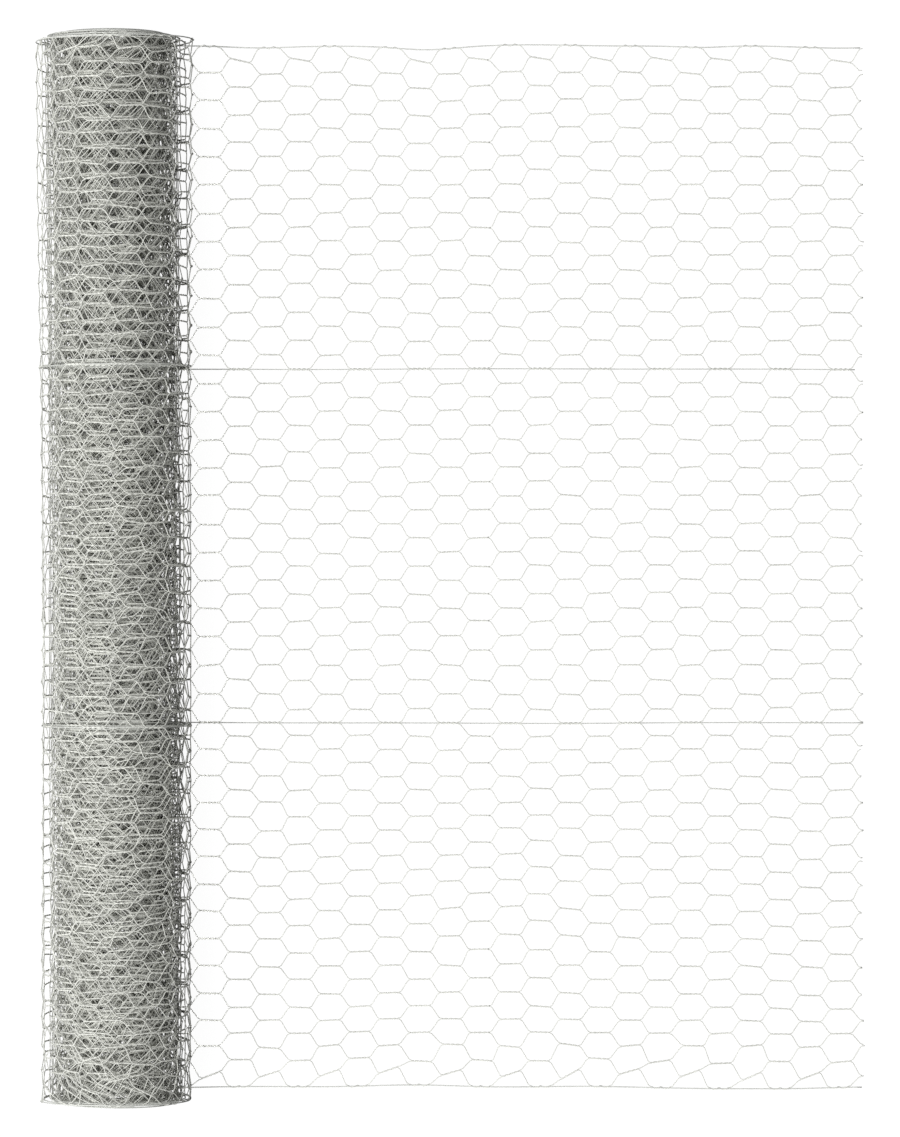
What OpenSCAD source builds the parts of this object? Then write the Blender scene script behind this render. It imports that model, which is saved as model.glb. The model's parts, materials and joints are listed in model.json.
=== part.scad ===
// A roll of hexagonal wire netting, lying on a floor with its free end drawn out flat.
// +Y runs along the roll, +X runs from the roll to the cut free end, and +Z is up.
// The origin lies on the floor, at the middle of the footprint. All sizes are in millimetres.

/* [Netting] */
// Width of the netting, which is the length of the roll
net_w = 900; // [500:1:1500]
// Distance that the rows of twists lie apart, before it is fitted to the width
mesh_size = 24; // [18:0.5:40]
// Distance between one column of twists and the next, along the netting
column_pitch = 25.94; // [22:0.01:40]
// Length of one twist
twist_l = 17; // [10:0.5:18]
// Diameter of the netting wire
wire_d = 0.8; // [0.5:0.05:1.4]
// Diameter of the straight wire that each edge is wound on
edge_d = 1; // [0.8:0.05:2]
// Diameter of the straight wires that run through the netting
line_d = 0.8; // [0.5:0.05:1.4]
// Share of the width at which the near straight wire lies
near_share = 0.36; // [0.25:0.01:0.45]
// Share of the width at which the far straight wire lies
far_share = 0.69; // [0.55:0.01:0.75]

/* [Roll] */
// Outer radius of the tight turns
core_r = 55; // [45:0.5:70]
// Radius of the hollow down the middle
bore_r = 16; // [10:0.5:25]
// Slack of the loose last turn, by which it stands off the tight turns at each side
loose_gap = 10; // [3:0.5:25]
// Thickness that one tight turn takes up
turn_pitch = 0.975; // [0.9:0.005:2]
// Depth to which the gaps between the turns show in the ends
end_gap_depth = 1.5; // [0.5:0.1:4]
// Width of each gap between the turns in the ends
end_gap_w = 0.3; // [0.1:0.05:0.6]

/* [Flat part] */
// Length of netting that lies flat, from under the roll to the cut end
flat_l = 640; // [400:1:1200]

/* [Hidden] */

// Netting is as thick as its twists, which are two wires side by side.
net_t = 2 * wire_d;
// Clearance between layers that rest on each other.
rest_gap = 0.1;

// The rows end in half a cell, so one edge has its twists half a row from the other's.
rows = floor(net_w / mesh_size) + 0.5;
row_pitch = net_w / rows;
slant_l = column_pitch - twist_l;

// The straight wires lie on rows of twists near the thirds of the width. The near one lies on
// a row that the even columns have, and the far one on a row that the odd columns have.
line_row_near = round(rows * near_share - 0.5) + 0.5;
line_row_far = round(rows * far_share);

// The loose turn shrinks by the netting's own thickness from its start to its end, so that
// it comes down on top of the flat part, and the tight turns rest on it.
turn_drop = net_t + rest_gap;
core_z = turn_drop + net_t + rest_gap + core_r;

// The loose turn is an oval, which bulges at its sides and lies on top of the tight turns.
// Half its size each way is taken to the middle of the netting, where the turn starts.
loose_half_w = core_r + loose_gap - net_t / 2;
loose_half_h = (core_z + core_r + rest_gap + turn_drop / 2) / 2;
// Number of flats that a round turn is made of.
round_steps = 96;

// Middle of the roll in X, so that the whole footprint is centred. The loose turn has shrunk
// by a quarter of its drop where it is widest.
roll_x = (core_r + loose_gap - turn_drop / 4 - flat_l) / 2;
free_x = roll_x + flat_l;
near_y = -net_w / 2;
far_y = net_w / 2;

function row_y(row) = near_y + row * row_pitch;

// Columns are counted back from the cut end, where a column of twists would have started.
function column_x(column) = free_x + twist_l / 2 - column * column_pitch;
function column_offset(column) = column % 2 == 0 ? 0.5 : 0;
columns = ceil(flat_l / column_pitch) + 1;
// The flat part is parted half way, at the middle of a column of twists.
split_x = column_x(round(columns / 2));

// Half the width of metal that lies on a row: a twist, with a straight wire in its middle on some rows.
function half_metal(row) =
    row == line_row_near || row == line_row_far ? line_d / 2 + wire_d
    : row <= 0 || row >= rows ? edge_d + wire_d
    : wire_d;

// Half the width of a cell's opening, at a height above or below the cell's middle.
function opening_half_w(height) =
    twist_l / 2 + slant_l * (1 - abs(height) / (row_pitch / 2))
    - wire_d / 2 * sqrt(1 + pow(slant_l / (row_pitch / 2), 2));

// One six-sided opening, between the twists on row and row + 1.
module cell_opening(column, row) {
    low = -row_pitch / 2 + half_metal(row);
    high = row_pitch / 2 - half_metal(row + 1);
    translate([column_x(column), row_y(row + 0.5)])
        polygon([
            [-opening_half_w(low), low], [opening_half_w(low), low], [opening_half_w(0), 0],
            [opening_half_w(high), high], [-opening_half_w(high), high], [-opening_half_w(0), 0]
        ]);
}

// The net's bars between two straight wires in Y, and from x0 to x1.
module net_panel(x0, x1, y0, y1) {
    first_row = floor((y0 - near_y) / row_pitch) - 1;
    last_row = ceil((y1 - near_y) / row_pitch);
    color("silver")
        linear_extrude(net_t)
            difference() {
                translate([x0, y0]) square([x1 - x0, y1 - y0]);
                for (column = [0:columns], step = [first_row:last_row]) {
                    row = step + column_offset(column);
                    reach = opening_half_w(0);
                    if (column_x(column) + reach > x0 && column_x(column) - reach < x1
                        && row_y(row + 1) > y0 && row_y(row) < y1)
                        cell_opening(column, row);
                }
            }
}

// A straight wire along the flat part, as wide as its diameter and as thick as the netting.
module straight_wire(y, width) {
    color("gainsboro")
        translate([roll_x, y - width / 2, 0])
            cube([flat_l, width, net_t]);
}

line_y_near = row_y(line_row_near);
line_y_far = row_y(line_row_far);

// The bands of netting between the straight wires, from the near edge to the far one.
bands = [
    [near_y + edge_d, line_y_near - line_d / 2],
    [line_y_near + line_d / 2, line_y_far - line_d / 2],
    [line_y_far + line_d / 2, far_y - edge_d]
];

module flat_net(band, outer) {
    x0 = outer ? split_x : roll_x;
    x1 = outer ? free_x : split_x;
    net_panel(x0, x1, bands[band][0], bands[band][1]);
}

// Radii where the turns' edges stand, from the hollow outwards.
turns = round((core_r - bore_r) / turn_pitch);
function turn_r(turn) = bore_r + (core_r - bore_r) * turn / turns;

// One end's outline, from the hollow outwards, with a narrow gap outside each turn but the last.
function end_outline(y, inward) = [
    for (turn = [0:turns - 1])
        let (r0 = turn_r(turn), r1 = turn_r(turn + 1), last = turn == turns - 1)
            each last ? [[r0, y], [r1, y]]
            : [[r0, y], [r1 - end_gap_w, y], [r1 - end_gap_w, y + inward], [r1, y + inward]]
];
function reversed(list) = [for (i = [len(list) - 1:-1:0]) list[i]];

// The tight turns: one turned solid with its hollow, whose ends show the turns.
module rolled_core() {
    outline = concat(
        end_outline(near_y, end_gap_depth),
        reversed(end_outline(far_y, -end_gap_depth))
    );
    color("darkgray")
        translate([roll_x, 0, core_z])
            rotate([-90, 0, 0])
                rotate_extrude($fn = round_steps) polygon(outline);
}

// The last turn's line, seen along +Y: it starts flat on the floor, rises on the -X side,
// passes over the core and comes down under it, one thickness above where it started.
function loose_point(share, offset) =
    let (angle = 270 - 360 * share, shrink = turn_drop * share - offset)
    [
        roll_x + (loose_half_w - shrink) * cos(angle),
        net_t / 2 + loose_half_h + (loose_half_h - shrink) * sin(angle)
    ];

module loose_turn() {
    outer_side = [for (i = [0:round_steps]) loose_point(i / round_steps, net_t / 2)];
    inner_side = [for (i = [round_steps:-1:0]) loose_point(i / round_steps, -net_t / 2)];
    color("lightgray")
        translate([0, far_y, 0])
            rotate([90, 0, 0])
                linear_extrude(net_w) polygon(concat(outer_side, inner_side));
}

rolled_core();
loose_turn();
flat_net(0, false);  // flat_net_1
flat_net(0, true);  // flat_net_2
flat_net(1, false);  // flat_net_3
flat_net(1, true);  // flat_net_4
flat_net(2, false);  // flat_net_5
flat_net(2, true);  // flat_net_6
straight_wire(near_y + edge_d / 2, edge_d);  // edge_wire_near
straight_wire(far_y - edge_d / 2, edge_d);  // edge_wire_far
straight_wire(line_y_near, line_d);  // line_wire_near
straight_wire(line_y_far, line_d);  // line_wire_far
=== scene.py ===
# %% [markdown]
# # A roll of hexagonal wire netting
#
# The object is a roll of galvanised netting, as sold for runs and fences. It lies on its side,
# one loose turn stands round the tight ones, and its free end is drawn out flat on the floor.
#
# A picture of netting could be painted on a sheet, but it would look flat from the side and
# empty in the mesh. Here every wire is a real tube. The whole net is first laid out flat in
# numbers, as it comes from the loom, and then one curve rolls it up. The flat part, the loose
# turn and the forty tight turns all come from the same few functions.

# %% Load the frame
import json
import math

import bpy
import numpy as np
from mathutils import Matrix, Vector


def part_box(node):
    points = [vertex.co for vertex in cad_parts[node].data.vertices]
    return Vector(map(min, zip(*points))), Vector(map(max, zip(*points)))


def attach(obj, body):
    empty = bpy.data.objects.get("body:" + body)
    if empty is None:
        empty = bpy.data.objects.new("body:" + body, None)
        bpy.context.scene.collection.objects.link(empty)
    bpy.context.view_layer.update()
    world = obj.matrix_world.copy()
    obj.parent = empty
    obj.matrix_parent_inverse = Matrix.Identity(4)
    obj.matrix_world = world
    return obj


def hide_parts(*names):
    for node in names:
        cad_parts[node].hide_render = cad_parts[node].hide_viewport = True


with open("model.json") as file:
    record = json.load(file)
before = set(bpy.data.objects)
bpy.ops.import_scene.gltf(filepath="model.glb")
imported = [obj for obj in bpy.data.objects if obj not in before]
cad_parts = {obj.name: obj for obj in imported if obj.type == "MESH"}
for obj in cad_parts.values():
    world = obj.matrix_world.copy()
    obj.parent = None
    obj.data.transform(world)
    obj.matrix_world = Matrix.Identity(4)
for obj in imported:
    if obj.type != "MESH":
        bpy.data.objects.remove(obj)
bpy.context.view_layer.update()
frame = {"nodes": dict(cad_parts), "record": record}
print("nodes in the frame:", ", ".join(sorted(frame["nodes"])))

# %% [markdown]
# ## Sizes
#
# The places and main sizes are read from the frame's solids, so this script follows the model
# if it changes. Only what the plain solids don't show is stated here: how the net is woven.

# %% Read the sizes from the frame
core_low, core_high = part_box("rolled_core")
loose_low, loose_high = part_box("loose_turn")
edge_low, edge_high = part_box("edge_wire_near")
near_line_low, near_line_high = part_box("line_wire_near")
far_line_low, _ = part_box("line_wire_far")
mounts = {mount["name"]: mount for mount in frame["record"]["mounts"]}

near_y = core_low.y
far_y = core_high.y
net_width = far_y - near_y
free_x = edge_high.x
roll_x = (core_low.x + core_high.x) / 2
core_z = (core_low.z + core_high.z) / 2
core_r = (core_high.z - core_low.z) / 2
bore_r = mounts["core_bore"]["dims"]["r_mm"] / 1000
wire_d = (edge_high.z - edge_low.z) / 2
edge_d = edge_high.y - edge_low.y
line_d = near_line_high.y - near_line_low.y
print(f"net {net_width:.3f} m wide, {free_x - roll_x:.3f} m lies flat, wire {wire_d * 1000:.2f} mm")

# %% State how the net is woven
MM = 0.001
ROWS = 37.5                  # rows of cells across the width
COLUMN_PITCH = 25.94 * MM    # from one column of twists to the next
TWIST_LENGTH = 17 * MM
TWIST_TURNS = 2              # whole turns that two wires make round each other in one twist
TIGHT_TURNS = 40

row_pitch = net_width / ROWS
WIRES = int(2 * ROWS)
TWISTS = int(ROWS) + 1       # twists in one column
near_line_row = (near_line_low.y + line_d / 2 - near_y) / row_pitch
far_line_row = (far_line_low.y + line_d / 2 - near_y) / row_pitch
print(f"{WIRES} netting wires, rows {row_pitch / MM:.1f} mm apart")
print(f"straight wires on rows {near_line_row:.1f} and {far_line_row:.1f}")

# %% [markdown]
# ## The line that the net follows
#
# Seen from its end, the net is one long line: flat along the floor from the cut end, once round
# as a loose oval, and then in a tight spiral down to the hollow. A point on it is named by its
# distance along the line, so a wire that is straight on the flat net bends by itself on the roll.
# The outer tight turns aren't quite tight: they sag out at their sides, and the spiral only
# becomes a true circle further in.
#
# The net rests on its thickest part, which is where a wire is wound on the edge wire, so its
# middle lies that much above the floor.

# %% Draw the line, seen from the near end
edge_wrap_r = (edge_d + wire_d) / 2
line_wrap_r = (line_d + wire_d) / 2
rest_height = edge_wrap_r + wire_d / 2

outer_r = core_r - wire_d
inner_r = bore_r + wire_d
turn_pitch = (outer_r - inner_r) / (TIGHT_TURNS - 1)
join_z = (rest_height + core_z - outer_r) / 2    # height where the loose turn becomes tight

left_r = roll_x - loose_low.x - wire_d
right_r = loose_high.x - roll_x - wire_d
top_z = loose_high.z - wire_d
OVERHANG = 10 * MM                               # spare line beyond the cut end
# How far the tight turns bulge at their sides, in mm by tight turns made: the first sags out most,
# more so on the flat part's side, and the rest are a little wider than they are high
SLACK_TURNS = [0.0, 0.25, 0.75, 1.25, 1.75, 2.25, 4.0, 10.0, 20.0, 39.0]
SIDE_SLACK = [7.5, 7.5, 9.0, 4.2, 5.4, 3.6, 3.4, 2.2, 1.0, 0.0]
FULL_TURN = 2 * math.pi


def smooth_step(value):
    """Goes softly from 0 to 1 while the value goes from 0 to 1."""
    t = np.clip(value, 0, 1)
    return t * t * (3 - 2 * t)


def netting_line():
    """Points of the line, the distance of each from the cut end, and the angle turned so far.
    Angles are turned from straight down, going first towards -X."""
    loose = np.radians(np.arange(1, 361))
    side_r = left_r + (right_r - left_r) * (loose / math.pi - 0.5)
    loose_x = roll_x - side_r * np.sin(loose)
    bottom_z = rest_height + (join_z - rest_height) * smooth_step(loose / math.pi - 1)
    loose_height = (top_z + bottom_z) / 2 - (top_z - bottom_z) / 2 * np.cos(loose)

    tight = np.radians(np.arange(2, 360 * (TIGHT_TURNS - 1) + 2, 2))
    join = (core_z - join_z - outer_r) * (1 - smooth_step(tight / (math.pi / 2)))
    tight_r = outer_r - turn_pitch * tight / FULL_TURN + join
    slack = np.interp(tight / FULL_TURN, SLACK_TURNS, SIDE_SLACK) * MM
    tight_x = roll_x - (tight_r + slack) * np.sin(tight)
    tight_height = core_z - tight_r * np.cos(tight)

    x = np.concatenate([[free_x + OVERHANG, roll_x], loose_x, tight_x])
    z = np.concatenate([[rest_height, rest_height], loose_height, tight_height])
    turned = np.concatenate([[0, 0], loose, FULL_TURN + tight])
    along = np.concatenate([[0], np.cumsum(np.hypot(np.diff(x), np.diff(z)))]) - OVERHANG
    return x, z, along, turned


LINE_X, LINE_Z, LINE_ALONG, LINE_TURNED = netting_line()
SLOPE_X = np.gradient(LINE_X, LINE_ALONG)
SLOPE_Z = np.gradient(LINE_Z, LINE_ALONG)
SLOPE_X[:2] = -1             # the flat part runs straight to the roll
SLOPE_Z[:2] = 0
net_length = LINE_ALONG[-1]
loose_from = free_x - roll_x
tight_from = np.interp(FULL_TURN, LINE_TURNED[1:], LINE_ALONG[1:])
print(f"the net is {net_length:.2f} m long, and {net_length - tight_from:.2f} m of it is tight")

# %% [markdown]
# ## What makes it look handled
#
# A net straight from a drawing board looks like graph paper. A real one has been pulled off the
# roll by hand. Its edges wander, its rows have drifted closer together in some places than in
# others, and the flat part doesn't quite lie down. The edges of the outer turns are drawn in, so
# the inner turns stand out behind them like a collar, and every turn has slid a little to one
# side of the last.
#
# All of this is smooth, so it is made of slow waves, of soft single pulls, and of short tables
# that are read between their entries. The random numbers start from a fixed seed, so the roll
# comes out the same every time.

# %% Smooth errors of the whole net
dice = np.random.default_rng(23)
SQUEEZE = 1.7 * MM           # how far the cells beside each edge are pushed towards it
SQUEEZE_REACH = 2.2 * row_pitch
SQUEEZE_GONE = 20            # reaches from the edge at which nothing of that is left
TURN_SHIFT = 0.45 * MM       # how far a turn lies to one side of the one outside it
SHIFT_KEPT = 0.8             # share of a turn's own shift that the next one keeps
TURN_SLIDE = 3.2 * MM        # how far the cells of one turn lie beside those of the next
SLIDE_DIES = 0.09            # length before the near edge in which that dies out
SLIDE_FROM = 0.02            # it also dies out slowly from here towards the far edge
SLIDE_TO = 0.40
SWAY_FLAT = 0.35 * MM        # slow sideways errors of the flat part, and of the wound part
SWAY_WOUND = 0.9 * MM
LIFT = 1.6 * MM              # how far the flat part rises off the floor
LIFT_ALWAYS = 0.35           # share of the lift that is there even between the waves
LIFT_ENDS = 0.03             # length before the roll in which the lift has died out
LIFT_FADES = 0.12            # and the length over which it does
EDGE_REACH = 0.05            # how far into the net an edge's pull reaches
# Where each edge is pulled in or out: distance from the cut end and half length in metres, and
# amount in mm
FAR_EDGE_PULLS = [
    (0.520, 0.035, -1.7),
    (0.375, 0.035, -3.2),
    (0.285, 0.045, 1.0),
    (0.137, 0.025, -1.3),
    (0.020, 0.050, -1.9),
]
NEAR_EDGE_PULLS = [(0.530, 0.080, 1.5), (0.385, 0.060, 2.9), (0.240, 0.080, 1.8), (0.0, 0.040, 1.2)]
# The rows aren't evenly spread across the net: places across it, and how far the rows there have
# moved, both in mm
DRIFT_AT = [-450, -410, -375, -300, -245, -200, -150, -120, -90, -65, 30, 145, 250, 330, 450]
DRIFT_BY = [0.0, 2.0, -0.3, -1.0, -3.2, -5.0, -7.0, -8.4, -7.0, -5.0, -4.7, -3.5, -1.8, -1.0, 0.0]
# Single pulls: distance from the cut end, place across, half sizes, and amount
PULLS = [
    (0.300, -0.290, 0.060, 0.060, 3.6 * MM),
    (0.030, -0.290, 0.060, 0.090, -3.4 * MM),
    (0.510, -0.280, 0.050, 0.070, -2.4 * MM),
]
# How far each edge stands out from its place, in mm by turns made: the outer turns were drawn in
# when the net was pulled off the roll, and the inner ones stand out behind them like a collar
SPREAD_TURNS = [0.0, 0.25, 0.5, 0.75, 1.0, 1.5, 2.5, 3.5, 5.0, 8.0, 40.0]
SPREAD_FAR = [0.0, -3.8, -4.6, -1.8, -3.0, -4.2, -2.2, -0.8, 0.4, 1.0, 0.0]
SPREAD_NEAR = [0.0, 3.4, 0.6, 2.2, 0.6, 0.2, 0.7, 1.1, 1.5, 1.7, 0.0]

turn_shifts = np.zeros(TIGHT_TURNS + 3)
for turn in range(2, len(turn_shifts)):
    turn_shifts[turn] = SHIFT_KEPT * turn_shifts[turn - 1] + dice.normal(0, TURN_SHIFT)

turn_tops = np.arange(TIGHT_TURNS) + 0.5
turn_slides = dice.normal(0, TURN_SLIDE, TIGHT_TURNS)
turn_slides[0] = 0


def slow_waves(count, longest, shortest):
    """Directions, lengths and starts of some slow waves, to be added up by wave_height."""
    lengths = np.geomspace(longest, shortest, count)
    headings = dice.uniform(0, FULL_TURN, count)
    starts = dice.uniform(0, FULL_TURN, count)
    return list(zip(lengths, headings, starts))


def wave_height(waves, along, across):
    """Sum of the waves, mostly between -1 and 1."""
    total = np.zeros(np.broadcast(along, across).shape)
    for length, heading, start in waves:
        way = along * math.cos(heading) + across * math.sin(heading)
        total = total + np.sin(way / length * FULL_TURN + start)
    return total / len(waves) ** 0.5


lift_waves = slow_waves(5, 0.45, 0.14)
sway_waves = slow_waves(5, 0.60, 0.12)
wander_waves = slow_waves(6, 1.60, 0.22)


def edge_squeeze(across):
    """Push of the cells towards the nearer edge, none at the edge itself."""
    share_near = (across - near_y) / SQUEEZE_REACH
    share_far = (far_y - across) / SQUEEZE_REACH
    near = share_near * np.exp(1 - np.clip(share_near, 0, SQUEEZE_GONE))
    far = share_far * np.exp(1 - np.clip(share_far, 0, SQUEEZE_GONE))
    return SQUEEZE * (far - near)


def edge_pull(along, inside, pulls):
    """Slow wander of an edge, dying out within a hand's width inside it."""
    pull = sum(amount * np.exp(-((along - at) / half) ** 2) for at, half, amount in pulls)
    return pull * MM * np.exp(-np.clip(inside, 0, None) / EDGE_REACH)


def row_drift(along, across):
    """How far the rows have moved across the net, by slow drift and by single pulls."""
    moved = np.interp(across / MM, DRIFT_AT, DRIFT_BY) * MM
    for at, place_across, half_along, half_across, amount in PULLS:
        off = ((along - at) / half_along) ** 2 + ((across - place_across) / half_across) ** 2
        moved = moved + amount * np.exp(-off)
    return moved


def slide(turned, across):
    """How far the cells of a turn have slid across, which leaves both edges where they are."""
    near = smooth_step((across - near_y) / SLIDE_DIES)
    far = 1 - smooth_step((across - SLIDE_FROM) / (SLIDE_TO - SLIDE_FROM))
    return np.interp(turned, turn_tops, turn_slides) * near * far


def sway(along, across):
    """How far a point is moved across the net, and how far it is lifted."""
    turned = np.interp(along, LINE_ALONG, LINE_TURNED) / FULL_TURN
    shift = np.interp(turned, np.arange(len(turn_shifts)), turn_shifts)
    spread_far = np.interp(turned, SPREAD_TURNS, SPREAD_FAR) * np.clip(across, 0, None)
    spread_near = np.interp(turned, SPREAD_TURNS, SPREAD_NEAR) * np.clip(across, None, 0)
    spread = (spread_far + spread_near) * MM / (net_width / 2)
    across_by = shift + spread + edge_squeeze(across) + row_drift(along, across)
    across_by = across_by + edge_pull(along, far_y - across, FAR_EDGE_PULLS)
    across_by = across_by + edge_pull(along, across - near_y, NEAR_EDGE_PULLS)
    across_by = across_by + slide(turned, across)
    sway_size = np.interp(turned, [0, 0.5], [SWAY_FLAT, SWAY_WOUND])
    across_by = across_by + sway_size * wave_height(sway_waves, along, across)
    flat = smooth_step((loose_from - LIFT_ENDS - along) / LIFT_FADES)
    lift_share = LIFT_ALWAYS + (1 - LIFT_ALWAYS) * wave_height(lift_waves, along, across)
    return across_by, LIFT * flat * np.clip(lift_share, 0, None)


print("turn shifts in mm:", np.round(turn_shifts[:8] / MM, 1))

# %% [markdown]
# ## Turns that don't line up
#
# Where the cells of several turns lie exactly on each other, the eye sees one bold mesh with dark
# holes. A real roll has no such order. So each turn starts its pattern a fixed share of the
# pattern's length further on than the turn outside it. The share comes from the golden ratio,
# whose multiples never fall together. Slow waves along the line are added to that.

# %% Let the wound net wander along its own line
WANDER = 12 * MM             # how far one part of a turn runs ahead of the rest
WANDER_FROM = 0.05           # turns made where it begins, and over which it grows
WANDER_GROWS = 0.6
WANDER_ENDS = 0.3            # length before the inner end in which it dies out
GOLDEN_STEP = 0.382          # the golden ratio's share of a whole
PATTERN = 2 * COLUMN_PITCH   # length after which the net's pattern comes again
PATTERN_STEP = GOLDEN_STEP * PATTERN

tops_along = np.interp(turn_tops * FULL_TURN, LINE_TURNED[1:], LINE_ALONG[1:])
turn_slips = np.zeros(TIGHT_TURNS)
for turn in range(1, TIGHT_TURNS):
    slip = tops_along[turn] - tops_along[0] - turn * PATTERN_STEP
    turn_slips[turn] = slip - PATTERN * np.round((slip - turn_slips[turn - 1]) / PATTERN)


def wander(along, across, turned):
    """How far along the line a wound point runs ahead of where an even net would have it."""
    turns = turned / FULL_TURN
    begins = smooth_step((turns - WANDER_FROM) / WANDER_GROWS)
    ends = smooth_step((net_length - along) / WANDER_ENDS)
    slip = np.interp(turns, turn_tops, turn_slips)
    return (slip + WANDER * wave_height(wander_waves, along, across)) * begins * ends


print("slips of the first turns in mm:", np.round(turn_slips[:9] / MM, 1))

# %% Put a point of the flat net in its place in the roll
CORE_LEAN = 2.3 * MM         # how far the tight turns' axis is off line at each end
CORE_SHIFT = 1.6 * MM        # how far the tight turns lean towards the flat part
CORE_BEND = 1.2 * MM         # how much less they do so at both ends
LOOSE_SHIFT = 2.2 * MM       # how far the loose turn's sides lean the same way
SHIFT_LOST = 0.7             # share of that which is lost towards the far end
LOOSE_SWELL = 3.2 * MM       # how much wider the loose turn stands at the far end


def place(along, across, inward):
    """World points for places on the net, and the net's own inward direction there."""
    across_by, lift_by = sway(along, across)
    y = across + across_by
    share = (y - near_y) / net_width
    along = along + wander(along, across, np.interp(along, LINE_ALONG, LINE_TURNED))
    turned = np.interp(along, LINE_ALONG, LINE_TURNED)
    at_loose_sides = np.where(turned < FULL_TURN, np.sin(turned) ** 2, 0)
    far_half = smooth_step(2 * share - 1)
    swell = LOOSE_SWELL * far_half * at_loose_sides
    to_near = 1 - 2 * share
    lean = CORE_SHIFT + CORE_LEAN * to_near - CORE_BEND * to_near ** 2
    lean = lean * smooth_step((turned - FULL_TURN) / math.pi)
    lean = lean + LOOSE_SHIFT * (1 - SHIFT_LOST * far_half) * at_loose_sides

    slope_x = np.interp(along, LINE_ALONG, SLOPE_X)
    slope_z = np.interp(along, LINE_ALONG, SLOPE_Z)
    size = np.hypot(slope_x, slope_z)
    inward_x = slope_z / size
    inward_z = -slope_x / size
    depth = inward + lift_by - swell
    x = np.interp(along, LINE_ALONG, LINE_X) + depth * inward_x + lean
    z = np.interp(along, LINE_ALONG, LINE_Z) + depth * inward_z
    points = np.stack(np.broadcast_arrays(x, y, z), axis=-1)
    inwards = np.stack(np.broadcast_arrays(inward_x, np.zeros_like(inward_x), inward_z), axis=-1)
    return points, inwards


corner, _ = place(np.array([0.0]), np.array([near_y]), np.array([0.0]))
print("the near corner of the cut end lies at", np.round(corner[0], 4))

# %% [markdown]
# ## Weaving
#
# Hexagonal netting is made of wires that all run the same way, side by side. In one column each
# wire is twisted round its neighbour on one side, and in the next column round its neighbour on
# the other side. Between the columns it slants across, and those slants and twists are the six
# sides of a cell.
#
# Counting wires from 0 at the near edge and columns from the cut end gives two short rules: which
# twist of the column a wire is in, and on which side of it. The first and last wires have no
# neighbour in every second column, so there they are wound on the edge wire. Where a straight
# wire runs through the net, the two wires are wound round it.
#
# Wire doesn't bend sharply, so two more points on each slant, close to its ends, make the corners
# of a cell round. The edge wires hold back one end of the twists beside them, which stand askew.

# %% Twists of every column
COLUMNS = int((net_length + TWIST_LENGTH / 2) / COLUMN_PITCH) - 1
STRAIGHT_ROWS = (0, ROWS, near_line_row, far_line_row)
NUDGE_ALONG = 0.45 * MM      # how far the twists of the flat part are out of place, and how askew
NUDGE_ACROSS = 0.35 * MM
TILT = math.radians(1.6)
ROLL_ROUGH = 2.6             # how much larger these errors are on the roll
TRODDEN_ROWS = 1.9           # rows at the near edge with larger errors, and how much larger
TRODDEN = 2.4
NEAR_EDGE_TILT = math.radians(-20)     # the edge wires hold back one end of the twists beside them
FAR_EDGE_TILT = math.radians(10)


def column_along(column):
    """Distance from the cut end to the middle of a column's twists."""
    return column * COLUMN_PITCH - TWIST_LENGTH / 2


def row_number(column, twist):
    """Row that a twist lies on. Even columns stand half a row further across than odd ones."""
    return twist + np.where(column % 2 == 0, 0.5, 0.0)


column_list = np.arange(COLUMNS + 2)
row_table = row_number(column_list[:, None], np.arange(TWISTS)[None, :])
on_straight = np.zeros(row_table.shape, bool)
wrap_table = np.full(row_table.shape, wire_d / 2)
for straight_row, wrap_r in zip(STRAIGHT_ROWS, (edge_wrap_r, edge_wrap_r, line_wrap_r, line_wrap_r)):
    found = np.abs(row_table - straight_row) < 0.01
    on_straight |= found
    wrap_table[found] = wrap_r

# The roll has been pressed and pulled more than the flat part, and the cells at the near edge
# have been trodden out of shape.
rough = np.where(column_along(column_list) > loose_from, ROLL_ROUGH, 1.0)[:, None]
rough = rough * np.where(row_table < TRODDEN_ROWS, TRODDEN, 1.0)
nudge_along = dice.normal(0, NUDGE_ALONG, row_table.shape) * rough
nudge_across = np.where(on_straight, 0, dice.normal(0, NUDGE_ACROSS, row_table.shape) * rough)
tilt_table = np.where(on_straight, 0, dice.normal(0, TILT, row_table.shape) * rough)
tilt_table[row_table == 0.5] += NEAR_EDGE_TILT
tilt_table[row_table == ROWS - 0.5] += FAR_EDGE_TILT
print(f"{COLUMNS} columns of {TWISTS} twists, {COLUMNS * TWISTS} in all")


# %% Rings along every wire
def weave(first, last, per_twist, turns, slant_shares):
    """Along, across and inward of each ring of each wire, from the first column's twist to the
    start of the twist after the last column. The slant shares are pairs: how far along and how
    far across each ring between two twists lies, so that a cell's corners can be round."""
    columns = np.arange(first, last + 2)[None, :]
    wires = np.arange(WIRES)[:, None]
    twist = np.where(columns % 2 == 0, wires // 2, (wires + 1) // 2)
    side = np.where((wires + columns) % 2 == 1, 1.0, -1.0)
    share = np.linspace(0, 1, per_twist + 1)
    angle = FULL_TURN * turns * share
    reach = (share - 0.5) * TWIST_LENGTH

    def look_up(table):
        return table[columns, twist][..., None]

    tilt = look_up(tilt_table)
    wrap = look_up(wrap_table) * side[..., None]
    middle_along = column_along(columns)[..., None] + look_up(nudge_along)
    middle_across = near_y + look_up(row_table) * row_pitch + look_up(nudge_across)
    along = middle_along + reach * np.cos(tilt)
    across = middle_across + reach * np.sin(tilt) + wrap * np.cos(angle)
    inward = wrap * np.sin(angle)
    rings = np.stack(np.broadcast_arrays(along, across, inward), axis=-1)

    before = rings[:, :-1, -1:, :]
    after = rings[:, 1:, :1, :]
    shares = np.array([(far_on, over, over) for far_on, over in slant_shares]).reshape(-1, 3)
    slants = before + (after - before) * shares
    woven = np.concatenate([rings[:, :-1], slants], axis=2)
    woven = woven.reshape(WIRES, -1, 3)
    return np.concatenate([woven, rings[:, -1, :1]], axis=1)


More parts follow.
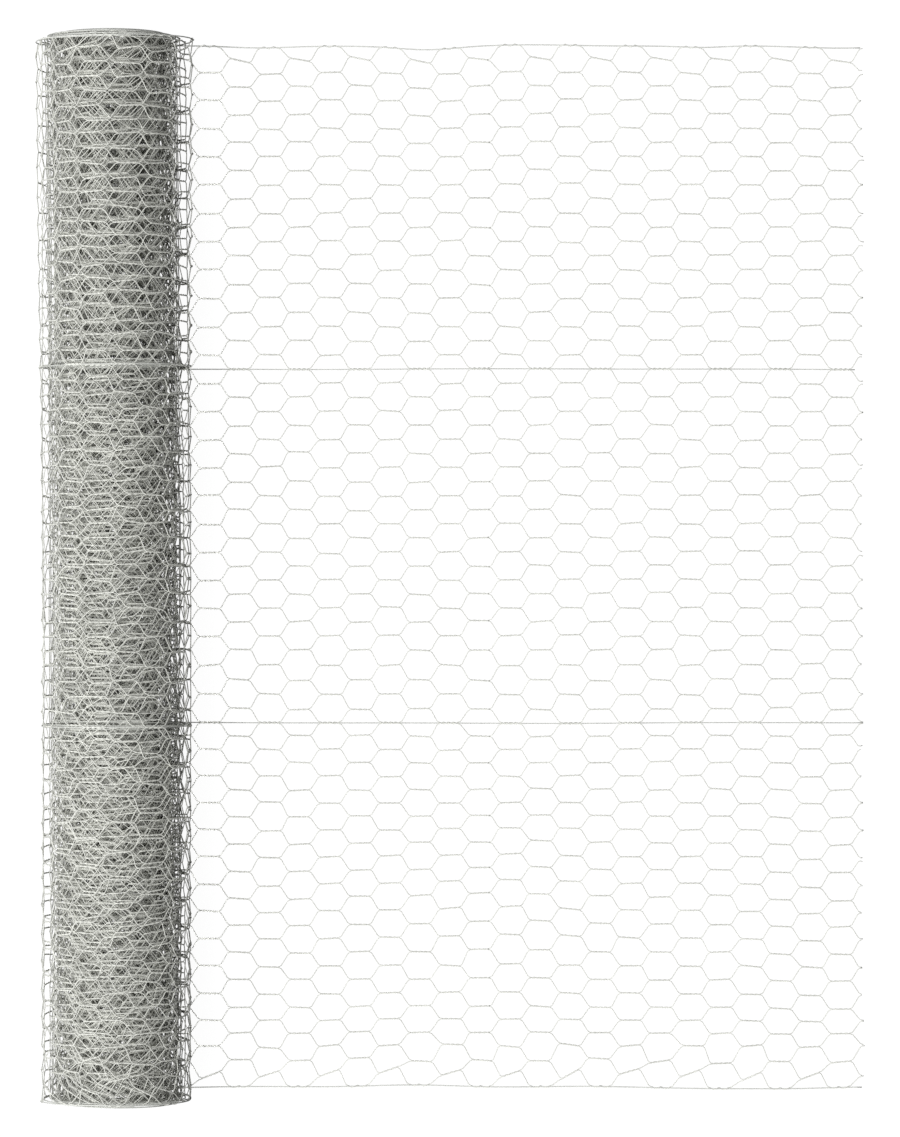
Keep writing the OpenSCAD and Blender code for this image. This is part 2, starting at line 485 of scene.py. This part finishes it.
FINE_TWIST = 12              # steps along one twist where the net is seen closely
ROUND_SLANT = ((0.2, 0.1), (0.8, 0.9))
two_columns = weave(0, 1, FINE_TWIST, TWIST_TURNS, ROUND_SLANT)
print("rings of one fine wire along two columns:", two_columns.shape[1])

# %% [markdown]
# ## Tubes
#
# Blender can give a curve a round bevel, but hundreds of metres of wire would then cost millions
# of faces. Building the tubes directly gives full control: five sides where the wire is seen
# alone, four round the roll, and three deep inside it. A tube with few sides looks thinner than
# the round wire, so its corners stand a little outside the circle, which makes its average width
# right.

# %% Turn rings into tubes
def ring_frames(points, inwards):
    """Two directions at right angles to each wire at each ring."""
    steps = np.diff(points, axis=1)
    steps = steps / np.linalg.norm(steps, axis=2, keepdims=True)
    ways = np.concatenate([steps[:, :1], steps[:, :-1] + steps[:, 1:], steps[:, -1:]], axis=1)
    ways = ways / np.linalg.norm(ways, axis=2, keepdims=True)
    sideways = np.cross(ways, inwards)
    sideways = sideways / np.linalg.norm(sideways, axis=2, keepdims=True)
    return sideways, np.cross(sideways, ways)


def corner_radius(diameter, sides):
    """Radius to the corners of a tube that looks as wide, on average, as the round wire."""
    return diameter * math.pi / (2 * sides * math.sin(math.pi / sides))


def tube_points(points, frames, diameter, sides):
    """Corners of every ring, as (wires, rings, sides, 3)."""
    angle = np.arange(sides) * FULL_TURN / sides
    sideways, upwards = (f[:, :, None, :] for f in frames)
    turn = np.cos(angle)[:, None] * sideways + np.sin(angle)[:, None] * upwards
    return points[:, :, None, :] + corner_radius(diameter, sides) * turn


def tube_faces(wires, rings, sides):
    """Walls and end caps of tubes whose corners are numbered by wire, then ring, then side."""
    number = np.arange(wires * rings * sides).reshape(wires, rings, sides)
    here, there = number[:, :-1], number[:, 1:]
    walls = np.stack([here, there, np.roll(there, -1, axis=2), np.roll(here, -1, axis=2)], axis=-1)
    return walls.reshape(-1, 4), number[:, 0], number[:, -1, ::-1]


def add_mesh(name, points, walls, caps):
    """A mesh object with smooth walls and flat caps."""
    mesh = bpy.data.meshes.new(name)
    corners = np.concatenate([walls.ravel(), caps.ravel()]).astype(np.int32)
    sizes = np.concatenate([np.full(len(walls), 4), np.full(len(caps), caps.shape[1])])
    mesh.vertices.add(len(points))
    mesh.vertices.foreach_set("co", points.astype(np.float32).ravel())
    mesh.loops.add(len(corners))
    mesh.loops.foreach_set("vertex_index", corners)
    mesh.polygons.add(len(sizes))
    mesh.polygons.foreach_set("loop_start", (np.cumsum(sizes) - sizes).astype(np.int32))
    smooth = np.concatenate([np.ones(len(walls), bool), np.zeros(len(caps), bool)])
    mesh.polygons.foreach_set("use_smooth", smooth)
    mesh.update(calc_edges=True)
    mesh.validate()
    thing = bpy.data.objects.new(name, mesh)
    bpy.context.scene.collection.objects.link(thing)
    return thing


triangle_counts = {}


def add_tubes(name, points, frames, diameter, sides):
    """One object of tubes, a row of points for each wire."""
    wires, rings = points.shape[:2]
    walls, starts, ends = tube_faces(wires, rings, sides)
    corners = tube_points(points, frames, diameter, sides).reshape(-1, 3)
    thing = add_mesh(name, corners, walls, np.concatenate([starts, ends]))
    triangle_counts[name] = 2 * len(walls) + 2 * wires * (sides - 2)
    print(f"{name}: {wires} wires, {triangle_counts[name]} triangles")
    return thing


# %% [markdown]
# ## Zinc
#
# The wire is steel dipped in molten zinc. The coat is pale and dull, not mirror bright: it has
# soft cloudy patches a few centimetres long, fine crystals, and small runs and pimples where the
# zinc froze. A plain metal shader would look like chrome. So the shader is only a little
# metallic, and noise at three sizes varies the colour, the roughness and the surface. The
# straight wires are drawn smoother, so their zinc is a little less rough.

# %% Make the zinc
METALLIC = 0.15
CLOUD_SCALE = 38
CRYSTAL_SCALE = 900
PIMPLE_SCALE = 2600
CRYSTAL_SHARE = 0.45         # how much of the colour follows the crystals, and not the clouds
DARKEST = 0.80               # the darkest and the palest patch, against the mean
PALEST = 1.12
DARKEST_AT = 0.32            # values of the noise at which they are reached
PALEST_AT = 0.68
SMOOTHER = 0.10              # how far the roughness varies, both ways
ROUGHER = 0.14
PIMPLE_HEIGHT = 0.05 * MM
PIMPLE_STRENGTH = 0.35
NETTING_TINT = (1.25, 1.24, 1.20)      # both against the colour of the record's slot
STRAIGHT_TINT = (1.09, 1.09, 1.065)


def zinc(name, slot_name, tint, roughness):
    """Galvanised wire, from the colour of the record's material slot."""
    slots = {m["slot"]: m for m in frame["record"]["materials"]}
    base = np.array(slots[slot_name]["base_color"]) * np.array(tint)
    material = bpy.data.materials.new(name)
    material.use_nodes = True
    nodes = material.node_tree.nodes
    links = material.node_tree.links
    shader = nodes["Principled BSDF"]
    shader.inputs["Metallic"].default_value = METALLIC
    place_on = nodes.new("ShaderNodeTexCoord")

    def noise(scale, detail):
        node = nodes.new("ShaderNodeTexNoise")
        node.inputs["Scale"].default_value = scale
        node.inputs["Detail"].default_value = detail
        links.new(place_on.outputs["Object"], node.inputs["Vector"])
        return node.outputs["Fac"]

    clouds = noise(CLOUD_SCALE, 3)
    crystals = noise(CRYSTAL_SCALE, 2)
    pimples = noise(PIMPLE_SCALE, 1)

    colours = nodes.new("ShaderNodeValToRGB")
    colours.color_ramp.elements[0].position = DARKEST_AT
    colours.color_ramp.elements[0].color = (*(base * DARKEST), 1)
    colours.color_ramp.elements[1].position = PALEST_AT
    colours.color_ramp.elements[1].color = (*(base * PALEST), 1)
    blend = nodes.new("ShaderNodeMix")
    blend.inputs["Factor"].default_value = CRYSTAL_SHARE
    links.new(clouds, blend.inputs["A"])
    links.new(crystals, blend.inputs["B"])
    links.new(blend.outputs["Result"], colours.inputs["Fac"])
    links.new(colours.outputs["Color"], shader.inputs["Base Color"])

    gloss = nodes.new("ShaderNodeMapRange")
    gloss.inputs["To Min"].default_value = roughness - SMOOTHER
    gloss.inputs["To Max"].default_value = roughness + ROUGHER
    links.new(crystals, gloss.inputs["Value"])
    links.new(gloss.outputs["Result"], shader.inputs["Roughness"])

    bump = nodes.new("ShaderNodeBump")
    bump.inputs["Strength"].default_value = PIMPLE_STRENGTH
    bump.inputs["Distance"].default_value = PIMPLE_HEIGHT
    links.new(pimples, bump.inputs["Height"])
    links.new(bump.outputs["Normal"], shader.inputs["Normal"])
    print(f"{name}: base colour {np.round(base, 2)}")
    return material


netting_zinc = zinc("netting_zinc", "galvanised_wire", NETTING_TINT, 0.55)
straight_zinc = zinc("straight_zinc", "straight_wire", STRAIGHT_TINT, 0.50)


def fit_out(thing, material, slot_name, *nodes):
    """Gives a piece its finish, hangs it on the root body and hides the solids of the frame that it
    stands for.
    """
    thing.data.materials.append(material)
    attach(thing, "root")
    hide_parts(*nodes)


# %% [markdown]
# ## The flat part and the loose turn
#
# These are what the eye follows, so each wire has six rings to a turn of its twist. The whole
# stretch is woven in one go and then cut into pieces at the start of a column, so the pieces
# share their last rings and no seam shows.
#
# The cut end needs care. The shears went through one column of twists, so each pair of wires
# comes together there and stops in a short stub, no two of them equally long. A few pairs have
# sprung open.

# %% Weave the fine stretch
PER_COLUMN = FINE_TWIST + 1 + len(ROUND_SLANT)
STUB_LONGEST = 2.4 * MM
STUB_SHORTEST = 0.5 * MM
OPEN_SHARE = 0.12            # share of the pairs that have sprung open, and how wide
OPEN_LEAST = 1.0             # this and the next in mm
OPEN_MOST = 2.6
CLOSED_GAP = 0.15 * MM
OPEN_REACH = 9 * MM
flat_columns = int(loose_from / COLUMN_PITCH)
loose_columns = int((tight_from + TWIST_LENGTH / 2) / COLUMN_PITCH)

# The shears leave only the end of the first column's twists.
fine = weave(0, loose_columns, FINE_TWIST, TWIST_TURNS, ROUND_SLANT)
fine = fine[:, FINE_TWIST - 1:]
stub = dice.uniform(STUB_SHORTEST, STUB_LONGEST, WIRES)
stub_way = fine[:, 0] - fine[:, 1]
stub_way = stub_way / np.linalg.norm(stub_way, axis=1, keepdims=True)
fine[:, 0] = fine[:, 1] + stub_way * stub[:, None]

is_open = dice.uniform(0, 1, WIRES) < OPEN_SHARE
gape = np.where(is_open, dice.uniform(OPEN_LEAST, OPEN_MOST, WIRES) * MM, CLOSED_GAP)
side_of_pair = np.where(np.arange(WIRES) % 2 == 0, -1, 1)
near_end = np.clip(1 - fine[:, :, 0] / OPEN_REACH, 0, 1.2)
fine[:, :, 1] += (gape * side_of_pair)[:, None] * near_end ** 2

fine_points, fine_inwards = place(fine[..., 0], fine[..., 1], fine[..., 2])
fine_frames = ring_frames(fine_points, fine_inwards)
print(f"columns 0 to {flat_columns} lie flat, and up to {loose_columns} are in the loose turn")


# %% Cut it into pieces
def fine_piece(name, first, last, sides):
    """Tubes from the start of one column to the start of the one after the last."""
    low = max(0, first * PER_COLUMN - (FINE_TWIST - 1))
    high = (last + 1) * PER_COLUMN - (FINE_TWIST - 1) + 1
    frames = [f[:, low:high] for f in fine_frames]
    return add_tubes(name, fine_points[:, low:high], frames, wire_d, sides)


middle_column = (flat_columns + 1) // 2
flat_outer = fine_piece("flat_netting_outer", 0, middle_column, 5)
flat_inner = fine_piece("flat_netting_inner", middle_column + 1, flat_columns, 5)
loose_ring = fine_piece("loose_turn_netting", flat_columns + 1, loose_columns, 4)
fit_out(flat_outer, netting_zinc, "galvanised_wire", "flat_net_2", "flat_net_4", "flat_net_6")
fit_out(flat_inner, netting_zinc, "galvanised_wire", "flat_net_1", "flat_net_3", "flat_net_5")
fit_out(loose_ring, netting_zinc, "galvanised_wire", "loose_turn")

# %% [markdown]
# ## The tight turns
#
# Nine metres of net are in here. Seen from outside they read as a thicket: bright wires on top,
# dark holes between them, and never a way through to the floor. That look comes by itself if
# the turns are really there, and no painted surface gives it. The outermost turn has whole
# twists, and the next two have simpler ones. Deeper in, the two wires of a twist run side by
# side, with three sides each, and they get more rings again towards the hollow, where the bends
# are sharper.

# %% Wind the tight turns
def column_at_turn(turn):
    """First column past a number of whole turns, counted from the start of the tight ones."""
    along = np.interp(FULL_TURN * (1 + turn), LINE_TURNED[1:], LINE_ALONG[1:])
    return int(math.ceil((along + TWIST_LENGTH / 2) / COLUMN_PITCH))


def tight_piece(name, first, last, per_twist, turns, slant_shares, sides):
    """A stretch of the tight spiral as tubes."""
    rings = weave(first, last, per_twist, turns, slant_shares)
    points, inwards = place(rings[..., 0], rings[..., 1], rings[..., 2])
    piece = add_tubes(name, points, ring_frames(points, inwards), wire_d, sides)
    fit_out(piece, netting_zinc, "galvanised_wire", "rolled_core")


OUTER_TWIST = 8              # steps along one twist of the outermost turn
first_tight = loose_columns + 1
last_tight = column_at_turn(1) - 1
tight_piece("tight_turn_outermost", first_tight, last_tight, OUTER_TWIST, TWIST_TURNS, ROUND_SLANT, 4)

# Turn where each deeper piece starts, the rings of a twist in it, and how often it is wound round
DEEP_PIECES = [(1, 4, 1), (3, 1, 0), (14, 1, 0), (34, 2, 0)]
deep_starts = [column_at_turn(piece[0]) for piece in DEEP_PIECES] + [COLUMNS]
for index, (_, per_twist, wound) in enumerate(DEEP_PIECES):
    first, last = deep_starts[index], deep_starts[index + 1] - 1
    tight_piece(f"tight_turns_{index + 1}", first, last, per_twist, wound, (), 3)

# %% [markdown]
# ## The straight wires
#
# Two thicker wires are the selvages, and two more run through the net near the thirds of its
# width, so that it can be pulled tight without stretching out of shape. They are single wires
# from the cut end to the hollow. In the roll's ends the selvage wires lie turn upon turn, and
# that is what makes the round rims.

# %% Lay the straight wires
OUTSIDE_STEP = 6 * MM
INSIDE_STEP = math.radians(8)


def straight_wire(name, across, diameter, start, sides, node):
    """One wire along the whole net."""
    outside = np.arange(start, tight_from, OUTSIDE_STEP)
    turned = np.arange(FULL_TURN, LINE_TURNED[-1], INSIDE_STEP)
    inside = np.interp(turned, LINE_TURNED[1:], LINE_ALONG[1:])
    along = np.concatenate([outside, inside[inside < net_length - COLUMN_PITCH]])[None, :]
    points, inwards = place(along, np.full(along.shape, across), np.zeros(along.shape))
    wire = add_tubes(name, points, ring_frames(points, inwards), diameter, sides)
    fit_out(wire, straight_zinc, "straight_wire", node)


straight_wire("near_selvage", near_y, edge_d, -1.0 * MM, 5, "edge_wire_near")
straight_wire("far_selvage", far_y, edge_d, 0.5 * MM, 5, "edge_wire_far")
straight_wire("near_line", near_y + near_line_row * row_pitch, line_d, -1.5 * MM, 4, "line_wire_near")
straight_wire("far_line", near_y + far_line_row * row_pitch, line_d, 5 * MM, 4, "line_wire_far")

total = sum(triangle_counts.values())
print(f"{total} triangles in all, the largest piece has {max(triangle_counts.values())}")

# %% [markdown]
# ## Floor, light and camera
#
# Netting is looked at against something pale, as on a packing table. The floor is white and
# shines by itself, which keeps the shadows faint, but the wires don't take light from it, so
# their lower sides stay dark. One large soft lamp stands on the roll's side, away from the flat
# part, and the sky is brightest high up on that side too. So the roll goes from pale to dark
# across its width.
#
# The roll also shades the flat wires next to it. A narrow lamp over them gives back a little of
# that light, and shines on the flat pieces only.

# %% Floor
FLOOR_SIZE = 30
FLOOR_GREY = 0.1             # under its own shine it is dark, so shadows on it are faint
FLOOR_SHINE = 0.95
bpy.ops.mesh.primitive_plane_add(size=FLOOR_SIZE, location=(0, 0, 0))
floor = bpy.context.object
floor.name = "floor"

floor_white = bpy.data.materials.new("floor_white")
floor_white.use_nodes = True
floor_shader = floor_white.node_tree.nodes["Principled BSDF"]
floor_shader.inputs["Base Color"].default_value = (FLOOR_GREY, FLOOR_GREY, FLOOR_GREY, 1)
floor_shader.inputs["Roughness"].default_value = 0.9
floor_shader.inputs["Specular IOR Level"].default_value = 0.1
floor_shader.inputs["Emission Color"].default_value = (1, 1, 1, 1)
floor_shader.inputs["Emission Strength"].default_value = FLOOR_SHINE
floor.data.materials.append(floor_white)
floor.visible_diffuse = False
floor.visible_glossy = False
print("floor is", FLOOR_SIZE, "m wide")

# %% Light
KEY_SIZE = 1.6
KEY_PLACE = (-1.7, -0.4, 3.0)
KEY_POWER = 73
FILL_WIDTH = 0.03
FILL_OFF = 0.067             # from the roll's axis, over the wires beside it
FILL_HEIGHT = 0.20
FILL_SPREAD = math.radians(24)
FILL_POWER = 0.10
SKY_TILT = math.radians(38)  # from straight up to the brightest part of the sky
SKY_DARK_FROM = -0.2         # cosine of the angle from there beyond which it is darkest
SKY_LIGHT_SIDE = 1.12
SKY_DARK_SIDE = 0.0


def aim(thing, target):
    """Turns a lamp or camera towards a point."""
    way = np.array(target) - np.array(thing.location)
    pitch = math.acos(-way[2] / np.linalg.norm(way))
    turn = math.atan2(way[1], way[0]) - math.pi / 2
    thing.rotation_euler = (pitch, 0, turn)


key = bpy.data.objects.new("key_light", bpy.data.lights.new("key_light", "AREA"))
key.data.shape = "SQUARE"
key.data.size = KEY_SIZE
key.data.energy = KEY_POWER
key.location = KEY_PLACE
aim(key, (roll_x, 0, core_z))
bpy.context.scene.collection.objects.link(key)

fill = bpy.data.objects.new("fill_light", bpy.data.lights.new("fill_light", "AREA"))
fill.data.shape = "RECTANGLE"
fill.data.size = FILL_WIDTH
fill.data.size_y = net_width
fill.data.spread = FILL_SPREAD
fill.data.energy = FILL_POWER
fill.location = (roll_x + FILL_OFF, 0, FILL_HEIGHT)
fill.visible_camera = False
fill_takes = bpy.data.collections.new("lit_by_fill")
for thing in (flat_outer, flat_inner):
    fill_takes.objects.link(thing)
fill.light_linking.receiver_collection = fill_takes
bpy.context.scene.collection.objects.link(fill)

world = bpy.data.worlds.new("studio")
world.use_nodes = True
bpy.context.scene.world = world
sky_nodes = world.node_tree.nodes
sky_links = world.node_tree.links
sky_place = sky_nodes.new("ShaderNodeTexCoord")
sky_facing = sky_nodes.new("ShaderNodeVectorMath")
sky_facing.operation = "DOT_PRODUCT"
sky_facing.inputs[1].default_value = (-math.sin(SKY_TILT), 0, math.cos(SKY_TILT))
sky_range = sky_nodes.new("ShaderNodeMapRange")
sky_range.inputs["From Min"].default_value = SKY_DARK_FROM
sky_range.inputs["From Max"].default_value = 1
sky_range.inputs["To Min"].default_value = SKY_DARK_SIDE
sky_range.inputs["To Max"].default_value = SKY_LIGHT_SIDE
sky_links.new(sky_place.outputs["Generated"], sky_facing.inputs[0])
sky_links.new(sky_facing.outputs["Value"], sky_range.inputs["Value"])
sky_links.new(sky_range.outputs["Result"], sky_nodes["Background"].inputs["Strength"])
sky_nodes["Background"].inputs["Color"].default_value = (1, 1, 1, 1)
print("key lamp of", KEY_POWER, "W, sky from", SKY_LIGHT_SIDE, "to", SKY_DARK_SIDE)

# %% Camera
CAMERA_HEIGHT = 3.75
CAMERA_X = -0.0022
CAMERA_Y = -0.001
LENS = 137.5                 # this and the sensor's width in mm
SENSOR_WIDTH = 36

camera = bpy.data.objects.new("camera", bpy.data.cameras.new("camera"))
camera.location = (CAMERA_X, CAMERA_Y, CAMERA_HEIGHT)
camera.data.lens = LENS
camera.data.sensor_width = SENSOR_WIDTH
camera.data.clip_end = 100
bpy.context.scene.collection.objects.link(camera)
bpy.context.scene.camera = camera
bpy.context.scene.view_settings.view_transform = "Standard"
print("camera looks straight down from", CAMERA_HEIGHT, "m")
